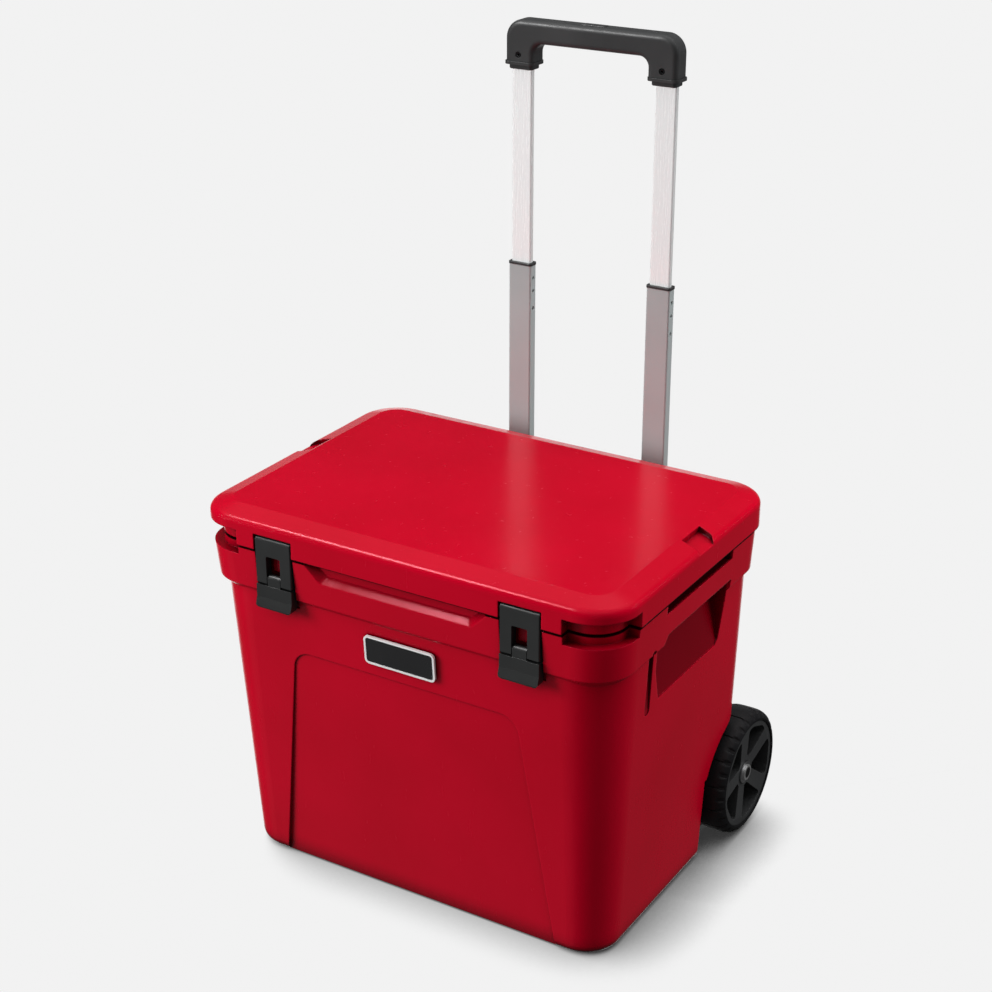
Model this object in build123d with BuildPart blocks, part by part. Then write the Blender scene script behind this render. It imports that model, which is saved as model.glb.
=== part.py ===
from build123d import *
import os

# Wheeled hard cooler with a hinged lid, two pull latches and a two-stage pull handle.
# Millimetres. X across the front, +Y to the back, +Z up.
# The origin is on the floor under the middle of the lid.

# ---- Driving dimensions -------------------------------------------------------------------
# A level is (height, half width, front y, back y, corner radius) of a rounded rectangle.
wall_foot = (0, 268, -172, 205, 47)
wall_head = (400, 288, -201, 205, 66)
band_neck = (393, 280, -194.5, 195, 45)
band_foot = (405, 292, -206.5, 206, 55)
band_head = (459, 296, -211, 206, 56)
base_radius = 15

wall = 6                 # thickness of the moulded body wall
front_wall = 11          # the front wall is thicker where the panel is sunk into it
rim_z = band_head[0]     # top of the body rim
rim_plate = 5
band_core_z = 428        # above this the band is solid round its pockets
band_solid = 21

seam = 3                 # gap between rim and lid
lid_z = rim_z + seam
lid_half = 298
lid_front = -213
lid_back = 213
lid_radius = 56
lid_edge_z = 497         # top of the lid's upright side
lid_top_z = 505
lid_slope = 30           # width of the sloping border round the raised top
lid_edge_radius = 10

tub_floor = (60, 213, -128, 150, 30)
tub_mouth = (rim_z, 245, -166, 163, 38)
liner = 4

axle_y = 197
axle_z = 86
axle_radius = 6
running = 0.05           # radial clearance of a running fit
tyre_radius = 86
rim_radius = 73
wheel_in = 244           # inner and outer faces of a wheel, from the middle
wheel_out = 293
well_radius = 102
well_in = 238
tunnel_radius = 11.5     # the round beam across the body that the axle runs in

hinge_y = 208
hinge_z = 470
hinge_pin_radius = 3
hinge_lugs = ((140, 155), (225, 240))
lug_radius = 6.5

latch_x = 174.5
latch_pocket = 28.5      # half width
latch_back = -198        # back wall of the latch pockets
latch_pin = (-206.5, 474)
lever_pin = (-207.5, 426)

tube_x = 103
tube_y = 261
outer_tube = (33.5, 15)
inner_tube = (29, 8.5)
guide_tube = (38.5, 20)
tube_wall = 1.5
grip_depth = 31
grip_top = 1041
grip_foot = 988

os.makedirs("parts", exist_ok=True)


def save(solid, name):
    solid.label = name
    export_step(solid, f"parts/{name}.step")


def inset(level, height, gap, front_gap=None):
    """The same rounded rectangle at another height, smaller by a gap all round."""
    _, half, front, back, radius = level
    front_gap = gap if front_gap is None else front_gap
    return (height, half - gap, front + front_gap, back - gap, max(radius - gap, 12))


def block(low, high):
    """A solid between two levels."""
    with BuildPart() as solid:
        for height, half, front, back, radius in (low, high):
            with BuildSketch(Plane((0, (front + back) / 2, height))):
                RectangleRounded(2 * half, back - front, radius)
        loft()
    return solid.part


def bar(x, y, z):
    """A square-edged bar between two values in each direction."""
    with BuildPart() as solid:
        with BuildSketch(Plane(((x[0] + x[1]) / 2, (y[0] + y[1]) / 2, z[0]))):
            Rectangle(abs(x[1] - x[0]), abs(y[1] - y[0]))
        extrude(amount=z[1] - z[0])
    return solid.part


def rod_x(radius, x, y, z):
    """A round rod along X between two x values."""
    with BuildPart() as solid:
        with BuildSketch(Plane(origin=(x[0], y, z), x_dir=(0, 1, 0), z_dir=(1, 0, 0))):
            Circle(radius)
        extrude(amount=x[1] - x[0])
    return solid.part


def side_span(side, inner, outer):
    """The x values of a stretch on the left (-1) or right (1) side, lowest first."""
    return tuple(sorted((side * inner, side * outer)))


def rect_tube(size, z, thickness, x, y):
    """A rectangular tube standing on end with softened corners."""
    with BuildPart() as solid:
        with BuildSketch(Plane((x, y, z[0]))):
            RectangleRounded(size[0], size[1], 2.4)
            RectangleRounded(size[0] - 2 * thickness, size[1] - 2 * thickness, 1,
                             mode=Mode.SUBTRACT)
        extrude(amount=z[1] - z[0])
    return solid.part


# ---- Recesses in the moulded body ---------------------------------------------------------
well_reach = 310
pocket_z = (331, 416)
slot_z = 447
slot_y = (-80, 97)
recess_back = 262        # inner end of the hand recess, from the middle
grab_bar_in = 283        # inner face of the grab bar


def wheel_well(side, radius, inner):
    """The round-topped space that a wheel turns in."""
    x = side_span(side, inner, well_reach)
    with BuildPart() as space:
        with BuildSketch(Plane(origin=(x[0], axle_y, axle_z), x_dir=(0, 1, 0), z_dir=(1, 0, 0))):
            Circle(radius)
            with Locations((0, -radius / 2)):
                Rectangle(2 * radius, 2 * axle_z)
        extrude(amount=x[1] - x[0])
    return space.part


def hand_pocket(side):
    """The recess below the grab bar: flush with the side at its foot, it leans in up to the bar."""
    low, high = pocket_z
    outline = ((-60, high), (102, high), (98, 385), (88, low + 6), (81, low), (-75, low),
               (-88, 374), (-88, 400), (-77, 406), (-70, high - 1))
    reach = Plane(origin=(side * 300, 0, 0), x_dir=(0, side, 0), z_dir=(side, 0, 0))
    with BuildPart() as mouth:
        with BuildSketch(reach):
            with BuildLine():
                Polyline(*[(side * y, z) for y, z in outline], close=True)
            make_face()
        extrude(amount=-38)
    with BuildPart() as wedge:
        with BuildSketch(Plane.XZ.offset(-110)):
            with BuildLine():
                Polyline((side * 301, low - 5), (side * 283.5, low), (side * recess_back, high),
                         (side * 301, high), close=True)
            make_face()
        extrude(amount=220)
    return mouth.part & wedge.part


def behind_bar(side):
    """The finger space behind the grab bar, open to the slot above it."""
    x = side_span(side, recess_back, grab_bar_in)
    return bar(x, (-72, 92), (pocket_z[1] - 8, rim_z + 1))


def bar_slot(side):
    """The slot between the grab bar and the lid."""
    return bar(side_span(side, recess_back, 300), slot_y, (slot_z, rim_z + 1))


def side_groove(side):
    """The upright groove in front of the hand pocket."""
    x = side_span(side, 283, 300)
    with BuildPart() as groove:
        with BuildSketch(Plane(origin=(x[0], -103, 365), x_dir=(0, 1, 0), z_dir=(1, 0, 0))):
            SlotOverall(88, 12, rotation=90)
        extrude(amount=x[1] - x[0])
    return groove.part


def front_panel():
    """The shallow panel sunk into the front wall, deeper towards the floor."""
    with BuildPart() as panel:
        with BuildSketch(Plane.XZ.offset(150)):
            with BuildLine():
                Polyline((-205, -1), (-160, 326), (160, 326), (205, -1), close=True)
            make_face()
            fillet(vertices().group_by(Axis.Y)[-1], 26)
        extrude(amount=80)
    with BuildPart() as hollow:
        with BuildSketch(Plane.YZ.offset(-220)):
            with BuildLine():
                Polyline((-230, -1), (-167, -1), (-193.8, 326), (-230, 326), close=True)
            make_face()
        extrude(amount=440)
    return panel.part & hollow.part


def finger_groove():
    """The grip recess in the front of the band, under the lid's edge."""
    with BuildPart() as groove:
        with BuildSketch(Plane.XZ.offset(212)):
            with BuildLine():
                Polyline((-131, rim_z + 1), (-109, 434.5), (109, 434.5), (131, rim_z + 1), close=True)
            make_face()
            fillet(vertices().group_by(Axis.Y)[0], 8)
        with BuildSketch(Plane.XZ.offset(200.5)):
            with BuildLine():
                Polyline((-120, rim_z + 1), (-102, 446), (102, 446), (120, rim_z + 1), close=True)
            make_face()
            fillet(vertices().group_by(Axis.Y)[0], 8)
        loft()
    return groove.part


def corner_notch(side, low, high):
    """The tie-down notch round a front corner, cut in from the lid's outline."""
    core = inset((low, lid_half, lid_front, lid_back, lid_radius), low - 1, 16)
    keep = block(core, (high + 1, *core[1:]))
    return bar(side_span(side, 229, 310), (-225, -150), (low, high)) - keep


def window_pad(side):
    """The raised pad on a latch pocket's back wall that shows through the latch's window."""
    half = 8.5
    with BuildPart() as pad:
        add(bar((side * latch_x - half, side * latch_x + half), (-201.8, latch_back + 1),
                (433.5, 455)))
        fillet(pad.edges().group_by(Axis.Y)[0], 1.2)
    return pad.part


notch_low = 449
notch_high = 482


# ---- Body shell ---------------------------------------------------------------------------
def body_outside():
    with BuildPart() as outside:
        add(block(wall_foot, wall_head))
        fillet(outside.edges().group_by(Axis.Z)[0], base_radius)
        add(block(band_neck, band_foot))
        add(block(band_foot, band_head))
        add(rod_x(tunnel_radius, (-well_in, well_in), axle_y, axle_z))
        for side in (-1, 1):
            for inner, outer in hinge_lugs:
                x = side_span(side, inner, outer)
                add(bar(x, (hinge_y - lug_radius, hinge_y + lug_radius), (425, hinge_z)))
                add(rod_x(lug_radius, x, hinge_y, hinge_z))
    return outside.part


def foam_space():
    """The room inside the moulded body, less what the recesses need round them."""
    low = inset(wall_foot, wall, wall, front_wall)
    high = inset(wall_head, wall_head[0], wall, front_wall)
    middle = inset(band_foot, wall_head[0] - 4, 8, 15)
    upper = (band_core_z, *middle[1:])
    core = inset(band_head, band_core_z, band_solid)
    with BuildPart() as space:
        add(block(low, high))
        add(block(middle, upper))
        add(block(core, (rim_z - rim_plate, *core[1:])))
        add(rod_x(tunnel_radius, (-well_in, well_in), axle_y, axle_z), mode=Mode.SUBTRACT)
        for side in (-1, 1):
            x = side_span(side, recess_back - wall, well_reach)
            add(bar(x, (-96, 109), (322, rim_z)), mode=Mode.SUBTRACT)
            add(wheel_well(side, well_radius + wall, well_in - wall), mode=Mode.SUBTRACT)
            x = side_span(side, latch_x - 35, latch_x + 35)
            add(bar(x, (-215, latch_back + wall), (390, rim_z)), mode=Mode.SUBTRACT)
    return space.part


drain_y = -40
drain_z = 78
drain_radius = 14
foam_room = foam_space()

with BuildPart() as body_shell:
    add(body_outside())
    add(foam_room, mode=Mode.SUBTRACT)
    add(block((rim_z - rim_plate, 249, -170, 167, 40), (rim_z + 1, 249, -170, 167, 40)),
        mode=Mode.SUBTRACT)
    add(block((rim_z - 2, 260.5, -184, 181, 46), (rim_z + 1, 260.5, -184, 181, 46)),
        mode=Mode.SUBTRACT)
    add(front_panel(), mode=Mode.SUBTRACT)
    add(finger_groove(), mode=Mode.SUBTRACT)
    for side in (-1, 1):
        add(wheel_well(side, well_radius, well_in), mode=Mode.SUBTRACT)
        add(hand_pocket(side), mode=Mode.SUBTRACT)
        add(behind_bar(side), mode=Mode.SUBTRACT)
        add(bar_slot(side), mode=Mode.SUBTRACT)
        add(side_groove(side), mode=Mode.SUBTRACT)
        add(corner_notch(side, notch_low, rim_z + 1), mode=Mode.SUBTRACT)
        pocket = side_span(side, latch_x - latch_pocket, latch_x + latch_pocket)
        add(bar(pocket, (-230, latch_back), (390, rim_z + 1)), mode=Mode.SUBTRACT)
        add(window_pad(side))
        add(rod_x(hinge_pin_radius, side_span(side, 139, 241), hinge_y, hinge_z),
            mode=Mode.SUBTRACT)
    add(rod_x(axle_radius, (-well_in, well_in), axle_y, axle_z), mode=Mode.SUBTRACT)
    add(rod_x(drain_radius, (-290, -240), drain_y, drain_z), mode=Mode.SUBTRACT)
save(body_shell.part, "body_shell")


# ---- Tub and insulation -------------------------------------------------------------------
tub_outside = block(inset(tub_floor, tub_floor[0] - liner, -liner), inset(tub_mouth, rim_z, -liner))

with BuildPart() as body_liner:
    add(tub_outside)
    add(block((rim_z - 2, 260.5, -184, 181, 46), (rim_z, 260.5, -184, 181, 46)))
    add(block(tub_floor, (rim_z + 1, *tub_mouth[1:])), mode=Mode.SUBTRACT)
    add(rod_x(drain_radius, (-260, -200), drain_y, drain_z), mode=Mode.SUBTRACT)
save(body_liner.part, "body_liner")

with BuildPart() as body_foam:
    add(foam_room)
    add(tub_outside, mode=Mode.SUBTRACT)
    add(rod_x(drain_radius, (-290, -200), drain_y, drain_z), mode=Mode.SUBTRACT)
save(body_foam.part, "body_foam")


# ---- Drain on the left side ---------------------------------------------------------------
drain_bore = 9.5

with BuildPart() as drain_bushing:
    add(rod_x(drain_radius, (-279, -211), drain_y, drain_z))
    add(rod_x(21, (-277, -273.4), drain_y, drain_z))
    add(rod_x(drain_bore, (-290, -200), drain_y, drain_z), mode=Mode.SUBTRACT)
save(drain_bushing.part, "drain_bushing")

with BuildPart() as drain_gasket:
    add(rod_x(13, (-281, -279.2), drain_y, drain_z))
    add(rod_x(9.3, (-290, -200), drain_y, drain_z), mode=Mode.SUBTRACT)
save(drain_gasket.part, "drain_gasket")

with BuildPart() as drain_plug:
    add(rod_x(9.2, (-281, -226), drain_y, drain_z))
    add(rod_x(16, (-287, -281), drain_y, drain_z))
    add(bar((-294, -287), (drain_y - 13, drain_y + 13), (drain_z - 3, drain_z + 3)))
    fillet(drain_plug.edges().group_by(Axis.X)[0], 1.5)
save(drain_plug.part, "drain_plug")


# ---- Badge on the front -------------------------------------------------------------------
badge_plane = Plane(Plane.XZ.offset(200.7).origin + Vector(2, 0, 364),
                    x_dir=(1, 0, 0), z_dir=(0, -1, -0.0743))
badge_size = (101, 39)
badge_rim = 2.6

with BuildPart() as badge_border:
    with BuildSketch(badge_plane):
        RectangleRounded(badge_size[0], badge_size[1], 6)
        RectangleRounded(badge_size[0] - 2 * badge_rim, badge_size[1] - 2 * badge_rim, 4,
                         mode=Mode.SUBTRACT)
    extrude(amount=3)
save(badge_border.part, "badge_border")

with BuildPart() as badge_plate:
    with BuildSketch(badge_plane):
        RectangleRounded(badge_size[0] - 2 * badge_rim, badge_size[1] - 2 * badge_rim, 4)
    extrude(amount=2.2)
save(badge_plate.part, "badge_plate")


# ---- Axle and wheels ----------------------------------------------------------------------
hub_radius = 19
hub_face = 285.5         # the hub sits this far out, in the dish of the rim
axle_end = 288.5
bush_radius = 8.5
spokes = 5
tread_blocks = 22

with BuildPart() as axle:
    add(rod_x(axle_radius, (-axle_end, axle_end), axle_y, axle_z))
    chamfer(axle.edges().filter_by(GeomType.CIRCLE), 1)
save(axle.part, "axle")

with BuildPart() as axle_washers:
    for side in (-1, 1):
        add(rod_x(15.5, side_span(side, hub_face + 0.3, 287.5), axle_y, axle_z))
        add(rod_x(14, side_span(side, well_in, 240), axle_y, axle_z))
    add(rod_x(axle_radius, (-300, 300), axle_y, axle_z), mode=Mode.SUBTRACT)
save(axle_washers.part, "axle_washers")

with BuildPart() as axle_caps:
    for side in (-1, 1):
        add(rod_x(11, side_span(side, 287.5, 290.5), axle_y, axle_z))
    fillet(axle_caps.edges().group_by(Axis.X)[0] + axle_caps.edges().group_by(Axis.X)[-1], 1)
    add(rod_x(axle_radius, (-axle_end, axle_end), axle_y, axle_z), mode=Mode.SUBTRACT)
save(axle_caps.part, "axle_caps")


def wheel_plane(side, depth):
    """A plane across the axle, a depth in from the wheel's outer face, looking outwards."""
    return Plane(origin=(side * (wheel_out - depth), axle_y, axle_z),
                 x_dir=(0, side, 0), z_dir=(side, 0, 0))


def wheel_rim(side):
    """Dished rim with a hub and tapered spokes between rounded pockets."""
    width = wheel_out - wheel_in
    with BuildPart() as rim:
        with BuildSketch(wheel_plane(side, width)):
            Circle(rim_radius)
        extrude(amount=width - 2)
        with BuildSketch(wheel_plane(side, 28)):
            with PolarLocations(44, spokes, start_angle=67.5):
                Polygon((-22, -4), (16, -29), (21, -15), (21, 15), (16, 29), (-22, 4), align=None)
            fillet(vertices(), 4.5)
        extrude(amount=40, mode=Mode.SUBTRACT)
        with BuildSketch(wheel_plane(side, width)):
            Circle(rim_radius - 7)
            Circle(hub_radius + 3, mode=Mode.SUBTRACT)
        extrude(amount=15, mode=Mode.SUBTRACT)
        with BuildSketch(wheel_plane(side, width + 3)):
            Circle(hub_radius)
        extrude(amount=width - 4)
        with BuildSketch(wheel_plane(side, wheel_out - hub_face)):
            Circle(hub_radius + 1)
        with BuildSketch(wheel_plane(side, 2)):
            Circle(rim_radius - 9)
        loft(mode=Mode.SUBTRACT)
        with BuildSketch(wheel_plane(side, width + 5)):
            Circle(bush_radius)
        extrude(amount=width + 10, mode=Mode.SUBTRACT)
    return rim.part


def tyre(side):
    """Solid tyre with a ribbed inner face, blocks round the tread and a scalloped shoulder."""
    width = wheel_out - wheel_in
    middle = side * (wheel_in + wheel_out) / 2
    with BuildPart() as rubber:
        with BuildSketch(wheel_plane(side, width)):
            Circle(tyre_radius)
            Circle(rim_radius, mode=Mode.SUBTRACT)
        extrude(amount=width)
        fillet(rubber.edges().filter_by(GeomType.CIRCLE).filter_by(
            lambda e: e.radius > tyre_radius - 1), 7)
        for index in range(tread_blocks):
            turn = 360 * index / tread_blocks
            cut = Plane(origin=(middle, axle_y, axle_z), x_dir=(1, 0, 0), z_dir=(0, 0, 1))
            cut = cut.rotated((turn, 0, 0))
            with BuildSketch(cut.offset(tyre_radius - 1.6)):
                Rectangle(width + 4, 2.6)
            extrude(amount=4, mode=Mode.SUBTRACT)
    return rubber.part


for side, name in ((-1, "left"), (1, "right")):
    save(wheel_rim(side), f"wheel_rim_{name}")
    save(tyre(side), f"tyre_{name}")
    with BuildPart() as wheel_bush:
        add(rod_x(bush_radius, side_span(side, 241, hub_face), axle_y, axle_z))
        add(rod_x(axle_radius + running, side_span(side, 230, 300), axle_y, axle_z),
            mode=Mode.SUBTRACT)
    save(wheel_bush.part, f"wheel_bush_{name}")


# ---- Handle cover, guides and brackets on the back ----------------------------------------
cover_z = (102, 450)
cover_y = (206.3, 277)
cover_half = 133
cover_wall = 3.5
guide_z = (119, 449)
bracket_heights = (130, 400)


def cover_form(gap, radius):
    """The cover's outer form, or its hollow when a gap is given."""
    with BuildPart() as form:
        add(bar((gap - cover_half, cover_half - gap), (cover_y[0] - gap, cover_y[1] - gap),
                (cover_z[0] + gap, cover_z[1] - gap)))
        fillet(form.faces().sort_by(Axis.Y)[-1].edges(), radius)
    return form.part


with BuildPart() as handle_cover:
    add(cover_form(0, 14))
    add(cover_form(cover_wall, 14 - cover_wall), mode=Mode.SUBTRACT)
    with BuildSketch(Plane.XZ.offset(-cover_y[1] + 2)):
        with Locations((0, (cover_z[0] + cover_z[1]) / 2)):
            RectangleRounded(110, 250, 16)
    extrude(amount=-3, mode=Mode.SUBTRACT)
    for side in (-1, 1):
        with BuildSketch(Plane((side * tube_x, tube_y, cover_z[1] - 22))):
            Rectangle(guide_tube[0], guide_tube[1])
        extrude(amount=24, mode=Mode.SUBTRACT)
save(handle_cover.part, "handle_cover")

for height, name in zip(bracket_heights, ("lower", "upper")):
    level = (height, height + 26)
    with BuildPart() as guide_bracket:
        add(bar((-128, 128), (cover_y[0], cover_y[0] + 3), level))
        for side in (-1, 1):
            for edge in (-1, 1):
                inner = side * tube_x + edge * guide_tube[0] / 2
                add(bar(tuple(sorted((inner, inner + edge * 3))), (cover_y[0], 266), level))
    save(guide_bracket.part, f"guide_bracket_{name}")

with BuildPart() as bracket_screws:
    for height in bracket_heights:
        with BuildSketch(Plane.XZ.offset(-cover_y[0] - 3)):
            with Locations((0, height + 13)):
                with GridLocations(110, 1, 2, 1):
                    Circle(5.5)
        extrude(amount=-3.4)
save(bracket_screws.part, "bracket_screws")


# ---- Telescoping tubes --------------------------------------------------------------------
lower_z = (364, 717.5)
upper_z = (624, 1004)
hole_heights = (700, 682, 658)

for side, name in ((-1, "left"), (1, "right")):
    x = side * tube_x
    save(rect_tube(guide_tube, guide_z, tube_wall, x, tube_y), f"guide_tube_{name}")

    with BuildPart() as lower_tube:
        add(rect_tube(outer_tube, lower_z, tube_wall, x, tube_y))
        for height in hole_heights:
            add(rod_x(2.6, (x - 20, x + 20), tube_y, height), mode=Mode.SUBTRACT)
    save(lower_tube.part, f"lower_tube_{name}")

    with BuildPart() as lower_collar:
        with BuildSketch(Plane((x, tube_y, lower_z[1]))):
            RectangleRounded(35.2, 16.7, 3.5)
            RectangleRounded(29.5, 9, 2.4, mode=Mode.SUBTRACT)
        extrude(amount=3.5)
        fillet(lower_collar.edges().group_by(Axis.Z)[-1].sort_by(Edge.length)[-1], 0.8)
    save(lower_collar.part, f"lower_collar_{name}")

    with BuildPart() as lower_plug:
        with BuildSketch(Plane((x, tube_y, lower_z[0] - 6))):
            RectangleRounded(35.2, 16.7, 1)
        extrude(amount=26)
        add(rect_tube(outer_tube, (lower_z[0], lower_z[0] + 30), 6, x, tube_y), mode=Mode.SUBTRACT)
        with BuildSketch(Plane((x, tube_y, lower_z[0]))):
            RectangleRounded(outer_tube[0], outer_tube[1], 2.4)
        extrude(amount=30, mode=Mode.SUBTRACT)
    save(lower_plug.part, f"lower_plug_{name}")

    save(rect_tube(inner_tube, upper_z, tube_wall, x, tube_y), f"upper_tube_{name}")

    with BuildPart() as upper_plug:
        with BuildSketch(Plane((x, tube_y, upper_z[0] - 8))):
            RectangleRounded(30.2, 11.7, 0.9)
        extrude(amount=26)
        with BuildSketch(Plane((x, tube_y, upper_z[0]))):
            RectangleRounded(inner_tube[0], inner_tube[1], 2.4)
        extrude(amount=30, mode=Mode.SUBTRACT)
        add(rod_x(2.5, (x - 20, x + 20), tube_y, upper_z[0] - 4), mode=Mode.SUBTRACT)
    save(upper_plug.part, f"upper_plug_{name}")

with BuildPart() as lock_pins:
    for side in (-1, 1):
        x = side * tube_x
        add(rod_x(2.5, (x - 15, x - 2), tube_y, upper_z[0] - 4))
        add(rod_x(2.5, (x + 2, x + 15), tube_y, upper_z[0] - 4))
save(lock_pins.part, "lock_pins")


# ---- Grip ---------------------------------------------------------------------------------
grip_half = 122
grip_inner = 81
grip_under = 1012
grip_front = tube_y - grip_depth / 2
channel_z = (1016, 1033)
button_size = (32, 12)
slider_z = (1022, 1028)
press = 4
rod_radius = 1.9

with BuildPart() as grip_body:
    with BuildSketch(Plane.XZ.offset(-grip_front)):
        with Locations((0, (grip_top + grip_foot) / 2)):
            Rectangle(2 * grip_half, grip_top - grip_foot)
        fillet(vertices().group_by(Axis.Y)[-1], 24)
        with Locations((0, grip_foot)):
            Rectangle(2 * grip_inner, 2 * (grip_under - grip_foot), mode=Mode.SUBTRACT)
        fillet(vertices().group_by(Axis.Y)[1:-1][0].filter_by(
            lambda v: abs(abs(v.X) - grip_inner) < 1), 13)
    extrude(amount=-grip_depth)
    faces_across = grip_body.faces().filter_by(Axis.Y)
    fillet([e for f in faces_across for e in f.edges() if e.center().Z > grip_foot + 1], 7)

with BuildPart() as grip_room:
    add(bar((-110, 110), (tube_y - 7, tube_y + 7), channel_z))
    add(bar((-button_size[0] / 2 - 0.5, button_size[0] / 2 + 0.5),
            (tube_y - button_size[1] / 2 - 0.5, tube_y + button_size[1] / 2 + 0.5),
            (channel_z[0], grip_top + 5)))
    for side in (-1, 1):
        with BuildSketch(Plane((side * tube_x, tube_y, grip_foot - 2))):
            RectangleRounded(inner_tube[0], inner_tube[1], 2.4)
        extrude(amount=upper_z[1] - grip_foot + 2)
        with BuildSketch(Plane((side * tube_x, tube_y, upper_z[1]))):
            Circle(rod_radius + 0.8)
        extrude(amount=channel_z[0] - upper_z[1] + 1)
        with BuildSketch(Plane.XZ.offset(-grip_front - 3)):
            with Locations((side * 102, 997)):
                Circle(2)
        extrude(amount=-24)
        with BuildSketch(Plane.XZ.offset(-grip_front + 1)):
            with Locations((side * 102, 997)):
                Circle(4.2)
        extrude(amount=-4)

for name, y in (("grip_front", (grip_front - 5, tube_y)), ("grip_rear", (tube_y, tube_y + 25))):
    with BuildPart() as grip_shell:
        add(grip_body.part)
        add(bar((-140, 140), y, (grip_foot - 5, grip_top + 5)), mode=Mode.INTERSECT)
        add(grip_room.part, mode=Mode.SUBTRACT)
    save(grip_shell.part, name)

with BuildPart() as grip_screws:
    for side in (-1, 1):
        with BuildSketch(Plane.XZ.offset(-grip_front - 0.6)):
            with Locations((side * 102, 997)):
                Circle(3.7)
                RegularPolygon(1.7, 6, mode=Mode.SUBTRACT)
        extrude(amount=-2.4)
        with BuildSketch(Plane.XZ.offset(-grip_front - 3)):
            with Locations((side * 102, 997)):
                Circle(2)
        extrude(amount=-3)
save(grip_screws.part, "grip_screws")

for side, name in ((-1, "left"), (1, "right")):
    with BuildPart() as grip_collar:
        with BuildSketch(Plane((side * 102, tube_y, 977.5))):
            RectangleRounded(35, 22, 5)
        extrude(amount=6.5)
        with BuildSketch(Plane((side * 102, tube_y, 984))):
            RectangleRounded(44, grip_depth + 2, 8)
        extrude(amount=grip_foot - 984)
        fillet(grip_collar.edges().group_by(Axis.Z)[0], 1.5)
        with BuildSketch(Plane((side * tube_x, tube_y, 970))):
            RectangleRounded(inner_tube[0], inner_tube[1], 2.4)
        extrude(amount=30, mode=Mode.SUBTRACT)
    save(grip_collar.part, f"grip_collar_{name}")

with BuildPart() as release_button:
    add(bar((-button_size[0] / 2, button_size[0] / 2),
            (tube_y - button_size[1] / 2, tube_y + button_size[1] / 2), (slider_z[1], grip_top + 1)))
    fillet(release_button.edges().group_by(Axis.Z)[-1], 1.2)
save(release_button.part, "release_button")

with BuildPart() as release_slider:
    add(bar((-107.5, 107.5), (tube_y - 5, tube_y + 5), slider_z))
save(release_slider.part, "release_slider")

with BuildPart() as push_rods:
    for side in (-1, 1):
        with BuildSketch(Plane((side * tube_x, tube_y, upper_z[0] + 10))):
            Circle(rod_radius)
        extrude(amount=slider_z[0] - upper_z[0] - 10)
save(push_rods.part, "push_rods")

with BuildPart() as button_spring:
    with BuildLine():
        Helix(pitch=1.6, height=slider_z[0] - channel_z[0] - 1, radius=3.2,
              center=(0, tube_y, channel_z[0] + 0.5))
    with BuildSketch(Plane(origin=(3.2, tube_y, channel_z[0] + 0.5), z_dir=(0, 1, 0))):
        Circle(0.45)
    sweep(is_frenet=True)
save(button_spring.part, "button_spring")


# ---- Lid ----------------------------------------------------------------------------------
strap_notch = (1, 49)     # its ends, where it is deepest
lid_room_z = (486, 492)
lid_plate = 3.5
plug_z = 446


def lid_outside():
    edge = (lid_edge_z, lid_half, lid_front, lid_back, lid_radius)
    with BuildPart() as outside:
        add(block((lid_z, *edge[1:]), edge))
        add(block(edge, inset(edge, lid_top_z, lid_slope)))
        rim = outside.edges().filter_by(lambda e: abs(e.center().Z - lid_edge_z) < 0.01)
        fillet(rim, lid_edge_radius)
    return outside.part


def strap_bite(side):
    """The channel that keeps a tie-down strap in place over the lid's edge."""
    with BuildPart() as channel:
        with BuildSketch(Plane.XZ.offset(10)):
            with BuildLine():
                Polyline((side * 271, 497), (side * 301, 491.3), (side * 301, 512),
                         (side * 271, 512), close=True)
            make_face()
        extrude(amount=-70)
    with BuildPart() as plan:
        with BuildSketch(Plane.XY.offset(480)):
            with BuildLine():
                Polyline((side * 270, strap_notch[0]), (side * 302, strap_notch[0] - 5),
                         (side * 302, 28), (side * 289, 44), (side * 270, strap_notch[1]),
                         close=True)
            make_face()
        extrude(amount=40)
        fillet(plan.edges().filter_by(Axis.Z).sort_by_distance((side * 289, 44, 500))[0], 9)
    return channel.part & plan.part


lid_level = (lid_z, lid_half, lid_front, lid_back, lid_radius)
lid_core = inset(lid_level, lid_z, 24)
lid_upper = inset(lid_level, lid_room_z[0], 9)

with BuildPart() as lid_room:
    add(block(lid_core, (lid_room_z[0], *lid_core[1:])))
    add(block(lid_upper, (lid_room_z[1], *lid_upper[1:])))
    for side in (-1, 1):
        add(bar(side_span(side, 262, 300), (-14, 60), (lid_room_z[0], lid_top_z)),
            mode=Mode.SUBTRACT)

with BuildPart() as lid_shell:
    add(lid_outside())
    add(lid_room.part, mode=Mode.SUBTRACT)
    for side in (-1, 1):
        add(strap_bite(side), mode=Mode.SUBTRACT)
        add(corner_notch(side, lid_z - 1, notch_high), mode=Mode.SUBTRACT)
        pocket = side_span(side, latch_x - latch_pocket, latch_x + latch_pocket)
        add(bar(pocket, (-230, latch_back), (lid_z - 1, 483.5)), mode=Mode.SUBTRACT)
        for inner, outer in hinge_lugs:
            x = side_span(side, inner - 1, outer + 1)
            add(bar(x, (hinge_y - 7.5, 220), (lid_z - 1, hinge_z + 7.5)), mode=Mode.SUBTRACT)
        add(rod_x(hinge_pin_radius + running, side_span(side, 139, 241), hinge_y, hinge_z),
            mode=Mode.SUBTRACT)
        add(rod_x(2.5, side_span(side, 143, 229.5), *latch_pin), mode=Mode.SUBTRACT)
save(lid_shell.part, "lid_shell")

plug_top = (lid_z, 240, -161, 157, 34)
plug_low = (plug_z, 236, -157, 153, 32)
gasket_out = (lid_z, 259, -181.5, 178.5, 45)
gasket_in = (lid_z, 251, -173.5, 170.5, 39)


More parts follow.
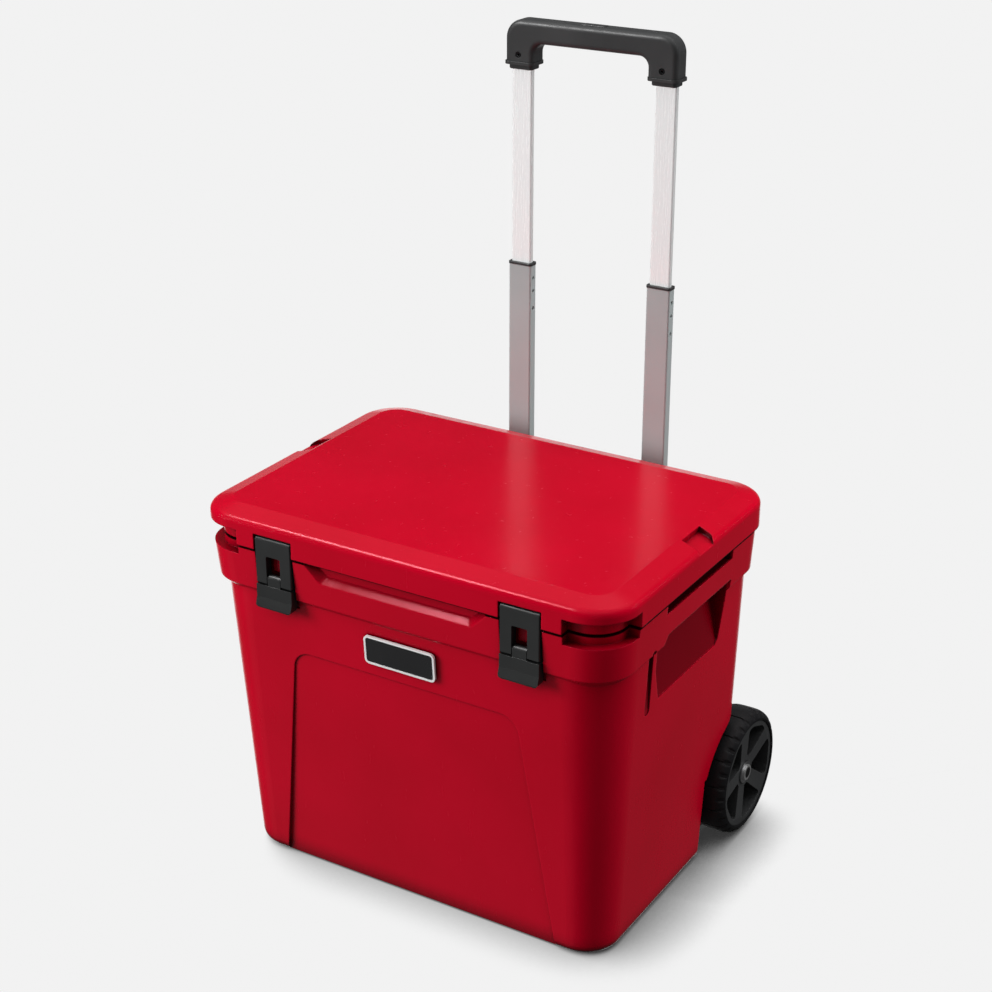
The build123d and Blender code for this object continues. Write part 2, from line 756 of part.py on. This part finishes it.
def gasket_ring(z):
    """The ring that the gasket fills, between two heights."""
    outer = block((z[0], *gasket_out[1:]), (z[1], *gasket_out[1:]))
    return outer - block((z[0] - 1, *gasket_in[1:]), (z[1] + 1, *gasket_in[1:]))


with BuildPart() as lid_liner:
    add(block(lid_core, (lid_z + lid_plate, *lid_core[1:])))
    add(block(plug_low, plug_top))
    add(block(inset(plug_low, plug_z + lid_plate, lid_plate), inset(plug_top, lid_z + 5, lid_plate)),
        mode=Mode.SUBTRACT)
    add(gasket_ring((lid_z - 1, lid_z + 2.3)), mode=Mode.SUBTRACT)
save(lid_liner.part, "lid_liner")

with BuildPart() as lid_foam:
    add(lid_room.part)
    add(block(inset(plug_low, plug_z + lid_plate, lid_plate), inset(plug_top, lid_z + 5, lid_plate)))
    add(bar((-300, 300), (-300, 300), (lid_z, lid_z + lid_plate)) - block(
        inset(plug_low, plug_z + lid_plate, lid_plate), inset(plug_top, lid_z + 5, lid_plate)),
        mode=Mode.SUBTRACT)
save(lid_foam.part, "lid_foam")

save(gasket_ring((rim_z + 0.3, lid_z + 2.3)), "lid_gasket")

for side, name in ((-1, "left"), (1, "right")):
    with BuildPart() as hinge_pin:
        add(rod_x(hinge_pin_radius, side_span(side, 139.5, 240.5), hinge_y, hinge_z))
    save(hinge_pin.part, f"hinge_pin_{name}")


# ---- Latches ------------------------------------------------------------------------------
frame_half = 26.5
frame_y = (-213, -202.5)
frame_z = (420, 481)
window_half = 10.5
lever_z = (387.5, 417)

for side, name in ((-1, "left"), (1, "right")):
    x = side * latch_x
    with BuildPart() as latch_pin_rod:
        add(rod_x(2.5, side_span(side, 144, 228.6), *latch_pin))
    save(latch_pin_rod.part, f"latch_pin_{name}")

    with BuildPart() as latch_frame:
        add(bar((x - frame_half, x + frame_half), frame_y, frame_z))
        fillet(latch_frame.edges().filter_by(Axis.X).group_by(Axis.Z)[-1], 4.5)
        fillet(latch_frame.edges().filter_by(Axis.Z), 1.5)
        with BuildSketch(Plane.XZ.offset(-frame_y[1] - 1)):
            with Locations((x, (frame_z[0] + 457) / 2 - 10)):
                RectangleRounded(2 * window_half, 457 - frame_z[0] + 20, 2)
        extrude(amount=20, mode=Mode.SUBTRACT)
        add(rod_x(2.5 + running, (x - 30, x + 30), *latch_pin), mode=Mode.SUBTRACT)
        add(rod_x(1.8, (x - 24, x + 24), *lever_pin), mode=Mode.SUBTRACT)
    save(latch_frame.part, f"latch_frame_{name}")

    with BuildPart() as lever:
        with BuildSketch(Plane.YZ.offset(x - frame_half)):
            with BuildLine():
                Polyline((-213.5, lever_z[1]), (-202.5, lever_z[1]), (-202.5, 394), (-205.5, lever_z[0]),
                         (-216.5, lever_z[0] - 0.5), (-217.2, lever_z[0] + 1.5), (-213.5, 400.5),
                         close=True)
            make_face()
        extrude(amount=2 * frame_half)
        with BuildSketch(Plane.XZ.offset(190)):
            with Locations((x, lever_z[0] + 24)):
                RectangleRounded(2 * frame_half, 50, 6)
        extrude(amount=40, mode=Mode.INTERSECT)
        with BuildSketch(Plane.YZ.offset(x - 9.5)):
            with Locations((lever_pin[0], lever_pin[1])):
                Circle(5.3)
            with Locations((lever_pin[0], lever_z[1] - 1)):
                Rectangle(10.6, 2 * (lever_pin[1] - lever_z[1] + 1))
        extrude(amount=19)
        add(rod_x(1.8 + running, (x - 30, x + 30), *lever_pin), mode=Mode.SUBTRACT)
    save(lever.part, f"lever_{name}")

    with BuildPart() as lever_pin_rod:
        add(rod_x(1.8, (x - 24, x + 24), *lever_pin))
    save(lever_pin_rod.part, f"lever_pin_{name}")

    with BuildPart() as latch_keeper:
        add(bar((x - 20, x + 20), (-201.3, latch_back), (401, 415)))
        fillet(latch_keeper.edges().filter_by(Axis.Y), 2)
    save(latch_keeper.part, f"latch_keeper_{name}")
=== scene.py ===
import math

import bmesh
import bpy
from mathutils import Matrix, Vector


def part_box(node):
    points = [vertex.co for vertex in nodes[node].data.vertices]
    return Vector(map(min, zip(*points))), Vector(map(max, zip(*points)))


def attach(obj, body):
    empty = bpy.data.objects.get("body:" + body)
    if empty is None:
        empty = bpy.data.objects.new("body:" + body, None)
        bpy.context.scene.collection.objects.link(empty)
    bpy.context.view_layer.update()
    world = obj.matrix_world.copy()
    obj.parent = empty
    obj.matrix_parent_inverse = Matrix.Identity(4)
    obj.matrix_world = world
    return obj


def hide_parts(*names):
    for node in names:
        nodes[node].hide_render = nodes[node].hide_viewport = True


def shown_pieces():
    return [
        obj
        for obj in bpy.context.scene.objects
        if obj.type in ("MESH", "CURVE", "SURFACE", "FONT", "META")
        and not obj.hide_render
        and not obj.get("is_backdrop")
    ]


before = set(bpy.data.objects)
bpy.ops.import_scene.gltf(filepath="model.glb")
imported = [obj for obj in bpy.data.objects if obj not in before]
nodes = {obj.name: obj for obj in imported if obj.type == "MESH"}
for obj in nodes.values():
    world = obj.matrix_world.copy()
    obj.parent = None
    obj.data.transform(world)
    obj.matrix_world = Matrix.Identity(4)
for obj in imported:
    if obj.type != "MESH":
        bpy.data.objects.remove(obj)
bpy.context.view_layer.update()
MM = 0.001

# The joint between the body's rim and the lid.
RIM_TOP = 459 * MM
LID_FOOT = 462 * MM

# The hand hold in each side, in object space, where shade is painted.
SIDE_FOOT = 0.268        # half width of the drafted side face at the floor
SIDE_DRAFT = 0.05        # how much wider it gets with height
HOLD_Y = (-0.128, 0.118)
HOLD_FOOT = 0.30
HOLD_DEPTH = 0.045
BAR_SLOT_Z = (0.419, 0.421)


# ---------------------------------------------------------------- node helpers
def graph(name):
    """An empty node material with its output, and the call that adds a node to it."""
    mat = bpy.data.materials.new(name)
    mat.use_nodes = True
    tree = mat.node_tree
    tree.nodes.clear()

    def add(kind, **sockets):
        node = tree.nodes.new(kind)
        for key, value in sockets.items():
            node.inputs[key.replace("_", " ")].default_value = value
        return node

    out = add("ShaderNodeOutputMaterial")
    return mat, tree, add, out


def coordinates(tree, add, stretch=(1, 1, 1)):
    """Object coordinates in metres, stretched where the grain has a direction."""
    where = add("ShaderNodeTexCoord")
    scale = add("ShaderNodeMapping")
    scale.inputs["Scale"].default_value = stretch
    tree.links.new(where.outputs["Object"], scale.inputs["Vector"])
    return scale.outputs["Vector"]


def noise(tree, add, vector, grain, detail=2.0, rough=0.5):
    """Noise whose features are about one grain (in metres) across."""
    tex = add("ShaderNodeTexNoise", Scale=1 / grain, Detail=detail, Roughness=rough)
    tree.links.new(vector, tex.inputs["Vector"])
    return tex.outputs["Fac"]


def remap(tree, add, value, low, high, to_low, to_high):
    """value from low..high to to_low..to_high, clamped."""
    node = add("ShaderNodeMapRange")
    node.inputs["From Min"].default_value = low
    node.inputs["From Max"].default_value = high
    node.inputs["To Min"].default_value = to_low
    node.inputs["To Max"].default_value = to_high
    tree.links.new(value, node.inputs["Value"])
    return node.outputs["Result"]


def mix(tree, add, factor, first, second):
    """Colour mix; each side is a colour or a socket."""
    node = add("ShaderNodeMix")
    node.data_type = "RGBA"
    tree.links.new(factor, node.inputs["Factor"])
    for socket, side in ((node.inputs[6], first), (node.inputs[7], second)):
        if isinstance(side, tuple):
            socket.default_value = (*side, 1)
        else:
            tree.links.new(side, socket)
    return node.outputs[2]


def edge_mask(tree, add, radius):
    """The softened normal, and a mask that rises from 0 to 1 within radius of an edge."""
    bevel = add("ShaderNodeBevel", Radius=radius)
    bevel.samples = 6
    geometry = add("ShaderNodeNewGeometry")
    dot = add("ShaderNodeVectorMath")
    dot.operation = "DOT_PRODUCT"
    tree.links.new(bevel.outputs["Normal"], dot.inputs[0])
    tree.links.new(geometry.outputs["True Normal"], dot.inputs[1])
    turned = remap(tree, add, dot.outputs["Value"], 0.995, 0.75, 0, 1)
    return turned, bevel.outputs["Normal"]


def painted_recess_shade(tree, add, reach, most):
    """Painted shade: 0 in the open, rising to the given share deep inside a recess."""
    shade = add("ShaderNodeAmbientOcclusion", Distance=reach)
    shade.samples = 8
    return remap(tree, add, shade.outputs["AO"], 0.35, 0.95, most, 0)


def maths(tree, add, operation, *values):
    """One Math node; each operand is a number or a socket."""
    node = add("ShaderNodeMath")
    node.operation = operation
    for socket, value in zip(node.inputs, values):
        if isinstance(value, (int, float)):
            socket.default_value = value
        else:
            tree.links.new(value, socket)
    return node.outputs[0]


def dimmed(colour, share):
    """The colour at a share of its brightness."""
    return tuple(share * c for c in colour)


def painted_hold_shade(tree, add, vector):
    """Painted shade below the drafted side face: part way in the pocket, nearly full in the slot.
    """

    def sums(operation, *values):
        return maths(tree, add, operation, *values)

    split = add("ShaderNodeSeparateXYZ")
    tree.links.new(vector, split.inputs[0])
    x, y, z = split.outputs
    face = sums("MULTIPLY_ADD", z, SIDE_DRAFT, SIDE_FOOT)
    depth = sums("SUBTRACT", face, sums("ABSOLUTE", x))
    pocket = remap(tree, add, depth, 0.5 * MM, 1.6 * MM, 0, 0.70)
    above_pocket = remap(tree, add, z, *BAR_SLOT_Z, 0, 1)
    behind_bar = remap(tree, add, depth, -3.4 * MM, -1 * MM, 0, 0.97)
    share = sums("MAXIMUM", pocket, sums("MULTIPLY", above_pocket, behind_bar))
    for value, low, high in ((y, *HOLD_Y), (z, HOLD_FOOT, RIM_TOP)):
        share = sums("MULTIPLY", share, sums("GREATER_THAN", value, low))
        share = sums("MULTIPLY", share, sums("LESS_THAN", value, high))
    return sums("MULTIPLY", share, sums("LESS_THAN", depth, HOLD_DEPTH))


def painted_seam_shade(tree, add, vector):
    """Painted shade: nearly 1 in the joint between rim and lid, where hardly any light gets in."""
    split = add("ShaderNodeSeparateXYZ")
    tree.links.new(vector, split.inputs[0])
    above = maths(tree, add, "SUBTRACT", split.outputs[2], (RIM_TOP + LID_FOOT) / 2)
    away = maths(tree, add, "ABSOLUTE", above)
    half = (LID_FOOT - RIM_TOP) / 2
    return remap(tree, add, away, half + 0.5 * MM, half + 1.2 * MM, 0.93, 0)


def bumped(tree, add, height, depth, normal=None):
    """A bump of the given depth in metres."""
    node = add("ShaderNodeBump", Strength=1.0, Distance=depth)
    tree.links.new(height, node.inputs["Height"])
    if normal is not None:
        tree.links.new(normal, node.inputs["Normal"])
    return node.outputs["Normal"]


def plastic(
    name,
    colour,
    deep,
    worn,
    roughness,
    grain=1.6 * MM,
    depth=0.03 * MM,
    soft_edge=0.8 * MM,
    specular=0.5,
    tint=(1, 1, 1),
    patch=90 * MM,
    recess_darkening=0.55,
    reach=45 * MM,
    shell=False,
):
    """Moulded plastic in two tones, with mould grain, scuffs and worn edges; painted shade darkens
    its recesses, and on the shell also the hand holds and the lid joint.
    """
    mat, tree, add, out = graph(name)
    shader = add("ShaderNodeBsdfPrincipled")
    shader.inputs["Specular IOR Level"].default_value = specular
    shader.inputs["Specular Tint"].default_value = (*tint, 1)
    vector = coordinates(tree, add)
    tone = remap(tree, add, noise(tree, add, vector, patch, 3), 0.35, 0.65, 0, 1)
    base = mix(tree, add, tone, deep, colour)
    edge, rounded = edge_mask(tree, add, soft_edge)
    speckle = noise(tree, add, vector, 3 * MM, 4, 0.7)
    rubbed = maths(tree, add, "MULTIPLY", edge, remap(tree, add, speckle, 0.4, 0.7, 0.15, 0.8))
    base = mix(tree, add, rubbed, base, worn)
    # Painted shade: recesses darken towards a dim copy of the deep colour.
    painted_shade = painted_recess_shade(tree, add, reach, recess_darkening)
    base = mix(tree, add, painted_shade, base, dimmed(deep, 0.06))
    if shell:
        # Painted shade in the hand holds.
        base = mix(tree, add, painted_hold_shade(tree, add, vector), base, dimmed(deep, 0.06))
        # Painted shade in the joint between rim and lid.
        base = mix(tree, add, painted_seam_shade(tree, add, vector), base, dimmed(deep, 0.03))
    tree.links.new(base, shader.inputs["Base Color"])
    scuff = noise(tree, add, coordinates(tree, add, (1, 1, 0.25)), 14 * MM, 5, 0.65)
    rough = remap(tree, add, scuff, 0.3, 0.75, roughness - 0.05, roughness + 0.08)
    tree.links.new(rough, shader.inputs["Roughness"])
    height = noise(tree, add, vector, grain, 2, 0.6)
    tree.links.new(bumped(tree, add, height, depth, rounded), shader.inputs["Normal"])
    tree.links.new(shader.outputs[0], out.inputs["Surface"])
    return mat


def metal(name, colour, dull, roughness, stretch=(1, 1, 0.02), metallic=1.0):
    """Drawn or turned metal: fine lines along the draw, a cloudy tone and soft edges."""
    mat, tree, add, out = graph(name)
    shader = add("ShaderNodeBsdfPrincipled", Metallic=metallic)
    vector = coordinates(tree, add)
    lines = noise(tree, add, coordinates(tree, add, stretch), 0.5 * MM, 3, 0.6)
    cloud = noise(tree, add, vector, 60 * MM, 3)
    base = mix(tree, add, remap(tree, add, cloud, 0.35, 0.65, 0, 1), dull, colour)
    base = mix(tree, add, remap(tree, add, lines, 0.35, 0.7, 0, 0.35), base, colour)
    tree.links.new(base, shader.inputs["Base Color"])
    rough = remap(tree, add, lines, 0.3, 0.7, roughness - 0.05, roughness + 0.06)
    tree.links.new(rough, shader.inputs["Roughness"])
    _, rounded = edge_mask(tree, add, 0.5 * MM)
    tree.links.new(bumped(tree, add, lines, 0.004 * MM, rounded), shader.inputs["Normal"])
    tree.links.new(shader.outputs[0], out.inputs["Surface"])
    return mat


# ---------------------------------------------------------------- materials
red = plastic(
    "red_polyethylene",
    (0.60, 0.0, 0.018),
    (0.55, 0.0, 0.015),
    (0.72, 0.01, 0.04),
    0.22,
    grain=1.8 * MM,
    depth=0.012 * MM,
    soft_edge=2.6 * MM,
    specular=0.28,
    tint=(1.0, 0.3, 0.38),
    patch=160 * MM,
    recess_darkening=0.95,
    reach=32 * MM,
    shell=True,
)
liner = plastic(
    "white_liner", (0.80, 0.80, 0.77), (0.76, 0.76, 0.73), (0.86, 0.86, 0.84), 0.38,
    soft_edge=1.0 * MM,
)
foam = plastic(
    "insulating_foam", (0.80, 0.70, 0.45), (0.70, 0.60, 0.38), (0.85, 0.76, 0.5), 0.85,
    grain=0.9 * MM, depth=0.3 * MM, specular=0.2,
)
black = plastic(
    "charcoal_plastic", (0.044, 0.045, 0.046), (0.034, 0.035, 0.036), (0.1, 0.1, 0.102), 0.45,
    grain=0.7 * MM, depth=0.03 * MM, soft_edge=0.8 * MM, specular=0.5,
)
latch_black = plastic(
    "latch_plastic", (0.026, 0.027, 0.027), (0.019, 0.02, 0.02), (0.12, 0.12, 0.12), 0.42,
    grain=0.6 * MM, depth=0.02 * MM, soft_edge=0.5 * MM, specular=0.45,
)
rubber = plastic(
    "seal_rubber", (0.02, 0.02, 0.02), (0.014, 0.014, 0.014), (0.05, 0.05, 0.05), 0.62,
    grain=0.8 * MM, depth=0.04 * MM, specular=0.3,
)
tyre_rubber = plastic(
    "tyre_rubber", (0.010, 0.010, 0.011), (0.006, 0.006, 0.007), (0.03, 0.03, 0.03), 0.58,
    grain=0.9 * MM, depth=0.06 * MM, soft_edge=0.5 * MM, specular=0.35,
)
badge_white = plastic(
    "badge_white", (0.93, 0.93, 0.93), (0.9, 0.9, 0.9), (0.95, 0.95, 0.95), 0.28,
    grain=0.8 * MM, depth=0.01 * MM, soft_edge=0.3 * MM, recess_darkening=0.05,
)
badge_black = plastic(
    "badge_black", (0.012, 0.012, 0.013), (0.009, 0.009, 0.01), (0.05, 0.05, 0.05), 0.3,
    grain=0.8 * MM, depth=0.01 * MM, soft_edge=0.3 * MM,
)
steel = metal("zinc_steel", (0.72, 0.72, 0.73), (0.5, 0.5, 0.52), 0.24, stretch=(0.05, 1, 1))
# The satin colour's blue-green tint is painted: it cancels the red light the lower tubes pick up
# from the shell.
satin = metal("satin_aluminium", (0.50, 0.56, 0.56), (0.47, 0.53, 0.53), 0.42, metallic=0.2)
bright = metal("bright_aluminium", (0.93, 0.95, 0.95), (0.92, 0.94, 0.94), 0.24, metallic=0.3)
dark_steel = metal(
    "blackened_steel", (0.05, 0.05, 0.052), (0.03, 0.03, 0.032), 0.3, stretch=(1, 1, 1)
)

BY_SLOT = {
    "red_shell": red,
    "foam_core": foam,
    "liner_white": liner,
    "black_plastic": black,
    "latch_plastic": latch_black,
    "seal_rubber": rubber,
    "tyre": tyre_rubber,
    "steel": steel,
    "satin_aluminium": satin,
    "bright_aluminium": bright,
    "badge_white": badge_white,
    "badge_black": badge_black,
}
for name, node in nodes.items():
    for held in node.material_slots:
        key = held.material.name.split(".")[0]
        if key not in BY_SLOT:
            raise ValueError(f"{name} has the unknown slot {key}")
        held.material = BY_SLOT[key]

nodes["grip_screws"].material_slots[0].material = dark_steel


def ringed_steel():
    """Turned end cap: a bright rim round a near-black, slightly sunk middle."""
    mat, tree, add, out = graph("ringed_steel")
    shader = add("ShaderNodeBsdfPrincipled", Metallic=0.85)
    vector = coordinates(tree, add)
    split = add("ShaderNodeSeparateXYZ")
    tree.links.new(vector, split.inputs[0])
    low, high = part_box("axle_caps")
    hub = (low + high) / 2
    cap_radius = (high - low).z / 2
    over = maths(tree, add, "POWER", maths(tree, add, "SUBTRACT", split.outputs[1], hub.y), 2)
    up = maths(tree, add, "POWER", maths(tree, add, "SUBTRACT", split.outputs[2], hub.z), 2)
    radius = maths(tree, add, "SQRT", maths(tree, add, "ADD", over, up))
    rim = remap(tree, add, radius, 0.64 * cap_radius, 0.72 * cap_radius, 0, 1)
    spun = noise(tree, add, vector, 0.8 * MM, 3, 0.6)
    steel_tone = mix(tree, add, spun, (0.62, 0.62, 0.62), (0.85, 0.85, 0.85))
    face = mix(tree, add, rim, (0.012, 0.012, 0.013), steel_tone)
    tree.links.new(face, shader.inputs["Base Color"])
    tree.links.new(remap(tree, add, spun, 0.3, 0.7, 0.28, 0.42), shader.inputs["Roughness"])
    tree.links.new(bumped(tree, add, rim, 0.8 * MM), shader.inputs["Normal"])
    tree.links.new(shader.outputs[0], out.inputs["Surface"])
    return mat


nodes["axle_caps"].material_slots[0].material = ringed_steel()


# ---------------------------------------------------------------- tyres
# Millimetres and degrees. Across runs from the inner side wall to the outer one.
TYRE_BORE = 73.05
INNER_WALL = [(0.6, TYRE_BORE), (0.4, 76), (0.7, 79.5), (2, 82.2), (4.5, 84.2), (8, 85.2)]
OUTER_WALL = [(38, 85.2), (40.5, 84.6), (43, 83.6), (45, 82.2), (46.8, 80.2), (48, 78)]
BEADS = [(48.6, 76.6), (48.9, 75.8), (48.3, 75.1), (48.9, 74.5), (48.3, TYRE_BORE)]
CROWN_MIDDLE = 24.5
CROWN_HALF = 20
CROWN_DROP = 0.9
BLOCKS = 15
BLOCK_STEPS = 29
STEP = 0.75
GROOVE_STOPS = (-0.75, -0.55, 0.55, 0.75)
GROOVE_HALF = 0.6
GROOVE_DEPTH = 1.7
GROOVE_SPAN = (5, 42)
LUGS = 30
LUG_DEPTH = 2.3


def smooth(value, start, full):
    """0 before start, 1 after full, with soft ends."""
    t = min(max((value - start) / (full - start), 0), 1)
    return t * t * (3 - 2 * t)


def tyre(name, side):
    """Solid tyre: a crowned tread in blocks, a lugged outer shoulder, a beaded side wall."""
    low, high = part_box("tyre_" + name)
    inner = low.x if side > 0 else high.x
    hub = (low + high) / 2
    crown = (high.z - low.z) / 2 / MM
    tread = []
    for across in range(11, 36, 3):
        drop = CROWN_DROP * ((across - CROWN_MIDDLE) / CROWN_HALF) ** 2
        tread.append((across, crown - drop))
    profile = INNER_WALL + tread + OUTER_WALL + BEADS
    pitch = 360 / BLOCKS
    turns = []
    for block in range(BLOCKS):
        start = pitch * block
        turns += [start + stop for stop in GROOVE_STOPS]
        turns += [start + STEP * (step + 2) for step in range(BLOCK_STEPS)]
    mesh = bmesh.new()
    rings = []
    for turn in turns:
        angle = math.radians(turn)
        from_groove = (turn + pitch / 2) % pitch - pitch / 2
        in_groove = abs(from_groove) < GROOVE_HALF
        lug = 0.5 + 0.5 * math.cos(math.radians(turn * LUGS))
        ring = []
        for across, radius in profile:
            cut = 0.0
            if in_groove and GROOVE_SPAN[0] < across < GROOVE_SPAN[1]:
                cut = GROOVE_DEPTH
            shoulder = smooth(across, 38.5, 43) * (1 - smooth(across, 47.2, 48.4))
            cut = max(cut, LUG_DEPTH * shoulder * smooth(lug, 0.62, 0.86))
            radius = min(radius - cut, crown)
            x = inner + side * across * MM
            y = hub.y + radius * MM * math.cos(angle)
            z = hub.z + radius * MM * math.sin(angle)
            ring.append(mesh.verts.new((x, y, z)))
        rings.append(ring)
    count = len(profile)
    for k, ring in enumerate(rings):
        after = rings[(k + 1) % len(rings)]
        for j in range(count):
            face = (ring[j], ring[(j + 1) % count], after[(j + 1) % count], after[j])
            mesh.faces.new(face if side > 0 else face[::-1])
    bmesh.ops.recalc_face_normals(mesh, faces=mesh.faces)
    data = bpy.data.meshes.new("tread_" + name)
    mesh.to_mesh(data)
    mesh.free()
    obj = bpy.data.objects.new("tread_" + name, data)
    bpy.context.scene.collection.objects.link(obj)
    obj.data.materials.append(tyre_rubber)
    for polygon in obj.data.polygons:
        polygon.use_smooth = True
    obj.data.set_sharp_from_angle(angle=math.radians(35))
    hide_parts("tyre_" + name)
    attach(obj, "wheel_" + name)


tyre("left", -1)
tyre("right", 1)


# ---------------------------------------------------------------- stage
PALE = 0.887             # the backdrop's tone
SURROUND = 0.07          # what is left of the light all round
OVERHEAD = 1.05          # pale ceiling
CARD = 0.25              # pale card low in front
BEHIND = 1.4             # pale card low behind, which lines the object's outline
SHADE_REACH = 0.13       # how far the soft shadow spreads over the floor


def floor_material():
    """An evenly glowing pale floor with a painted soft shadow where the object stands close, mostly
    to its right.
    """
    mat, tree, add, out = graph("stage_floor")
    glow = add("ShaderNodeEmission", Color=(1, 1, 1, 1))
    shade = add("ShaderNodeAmbientOcclusion", Distance=SHADE_REACH)
    shade.samples = 24
    lean = add("ShaderNodeCombineXYZ", X=-0.55, Y=0.1, Z=0.83)
    tree.links.new(lean.outputs[0], shade.inputs["Normal"])
    # Painted shadow: the glow falls off where the object shuts out the surroundings, leaning to the
    # right.
    painted_floor_shadow = remap(tree, add, shade.outputs["AO"], 0.15, 0.72, 0.03, PALE)
    tree.links.new(painted_floor_shadow, glow.inputs["Strength"])
    tree.links.new(glow.outputs[0], out.inputs["Surface"])
    return mat


bpy.ops.mesh.primitive_plane_add(size=80, location=(0, 0, 0))
floor = bpy.context.object
floor.name = "stage_floor"
floor.data.materials.append(floor_material())
floor.visible_diffuse = False
floor.visible_glossy = False
floor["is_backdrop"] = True

scene = bpy.context.scene
scene.view_settings.view_transform = "Standard"


def studio_world():
    """A dim surround with a pale ceiling and two pale cards, seen as the plain backdrop."""
    world = bpy.data.worlds.new("studio")
    world.use_nodes = True
    tree = world.node_tree
    tree.nodes.clear()

    def new(kind):
        return tree.nodes.new("ShaderNode" + kind)

    where = new("TexCoord")

    def total(first, second):
        node = new("Math")
        node.operation = "ADD"
        tree.links.new(first, node.inputs[0])
        if isinstance(second, float):
            node.inputs[1].default_value = second
        else:
            tree.links.new(second, node.inputs[1])
        return node.outputs[0]

    def toward(direction, start, full, strength):
        dot = new("VectorMath")
        dot.operation = "DOT_PRODUCT"
        dot.inputs[1].default_value = Vector(direction).normalized()
        tree.links.new(where.outputs["Generated"], dot.inputs[0])
        ramp = new("MapRange")
        ramp.interpolation_type = "SMOOTHSTEP"
        ramp.inputs["From Min"].default_value = start
        ramp.inputs["From Max"].default_value = full
        ramp.inputs["To Min"].default_value = 0
        ramp.inputs["To Max"].default_value = strength
        tree.links.new(dot.outputs["Value"], ramp.inputs["Value"])
        return ramp.outputs["Result"]

    ceiling = toward((0, 0, 1), 0.5, 0.9, OVERHEAD)
    front = toward((-0.48, -0.78, -0.40), 0.78, 0.93, CARD)
    behind = toward((-0.50, 0.76, -0.41), 0.84, 0.96, BEHIND)
    back = new("Background")
    tree.links.new(total(total(ceiling, total(front, behind)), SURROUND), back.inputs["Strength"])
    backdrop = new("Background")
    backdrop.inputs["Color"].default_value = (1, 1, 1, 1)
    backdrop.inputs["Strength"].default_value = PALE
    seen = new("LightPath")
    both = new("MixShader")
    tree.links.new(seen.outputs["Is Camera Ray"], both.inputs["Fac"])
    tree.links.new(back.outputs[0], both.inputs[1])
    tree.links.new(backdrop.outputs[0], both.inputs[2])
    out = new("OutputWorld")
    tree.links.new(both.outputs[0], out.inputs["Surface"])
    return world


scene.world = studio_world()
lit = bpy.data.collections.new("lit_by_softboxes")
lit_tubes = bpy.data.collections.new("lit_tubes")


MIDDLE = Vector((0, 0, 0.4))


def softbox(name, direction, distance, size, watts, glossy=True, diffuse=True, group=lit):
    """A soft light aimed at the middle of the object, that leaves the floor evenly lit."""
    lamp = bpy.data.lights.new(name, "AREA")
    lamp.shape = "RECTANGLE"
    lamp.size, lamp.size_y = size
    lamp.energy = watts
    obj = bpy.data.objects.new(name, lamp)
    scene.collection.objects.link(obj)
    obj.location = MIDDLE + Vector(direction).normalized() * distance
    obj.rotation_mode = "QUATERNION"
    obj.rotation_quaternion = (MIDDLE - obj.location).to_track_quat("-Z", "Y")
    obj.light_linking.receiver_collection = group
    obj.visible_glossy = glossy
    obj.visible_diffuse = diffuse


softbox("key_light", (-0.476, -0.403, 0.782), 2.5, (1.0, 0.2), 52, diffuse=False)
softbox("top_light", (0.1, 0.35, 0.93), 2.5, (1.2, 1.2), 23, glossy=False)
softbox("front_fill", (-0.75, -0.6, 0.25), 3.0, (1.4, 1.4), 74, glossy=False)
softbox("side_light", (0.75, 0.6, 0.35), 2.6, (1.0, 1.2), 38, glossy=False)
softbox("camera_fill", (0.476, -0.78, 0.3), 2.6, (0.8, 0.8), 7, glossy=False)
softbox("tube_fill", (-0.2, -0.9, 0.4), 2.6, (0.9, 0.9), 24, glossy=False, group=lit_tubes)

lens = bpy.data.cameras.new("view")
lens.sensor_width = 36
lens.lens = 70.8
camera = bpy.data.objects.new("view", lens)
scene.collection.objects.link(camera)
camera.location = (1.1708, -1.9014, 1.4833)
camera.rotation_mode = "QUATERNION"
target = Vector((0.01425, 0, 0.50312))
camera.rotation_quaternion = (target - camera.location).to_track_quat("-Z", "Y")
scene.camera = camera

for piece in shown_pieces():
    lit.objects.link(piece)
for side in ("left", "right"):
    lit_tubes.objects.link(nodes["upper_tube_" + side])
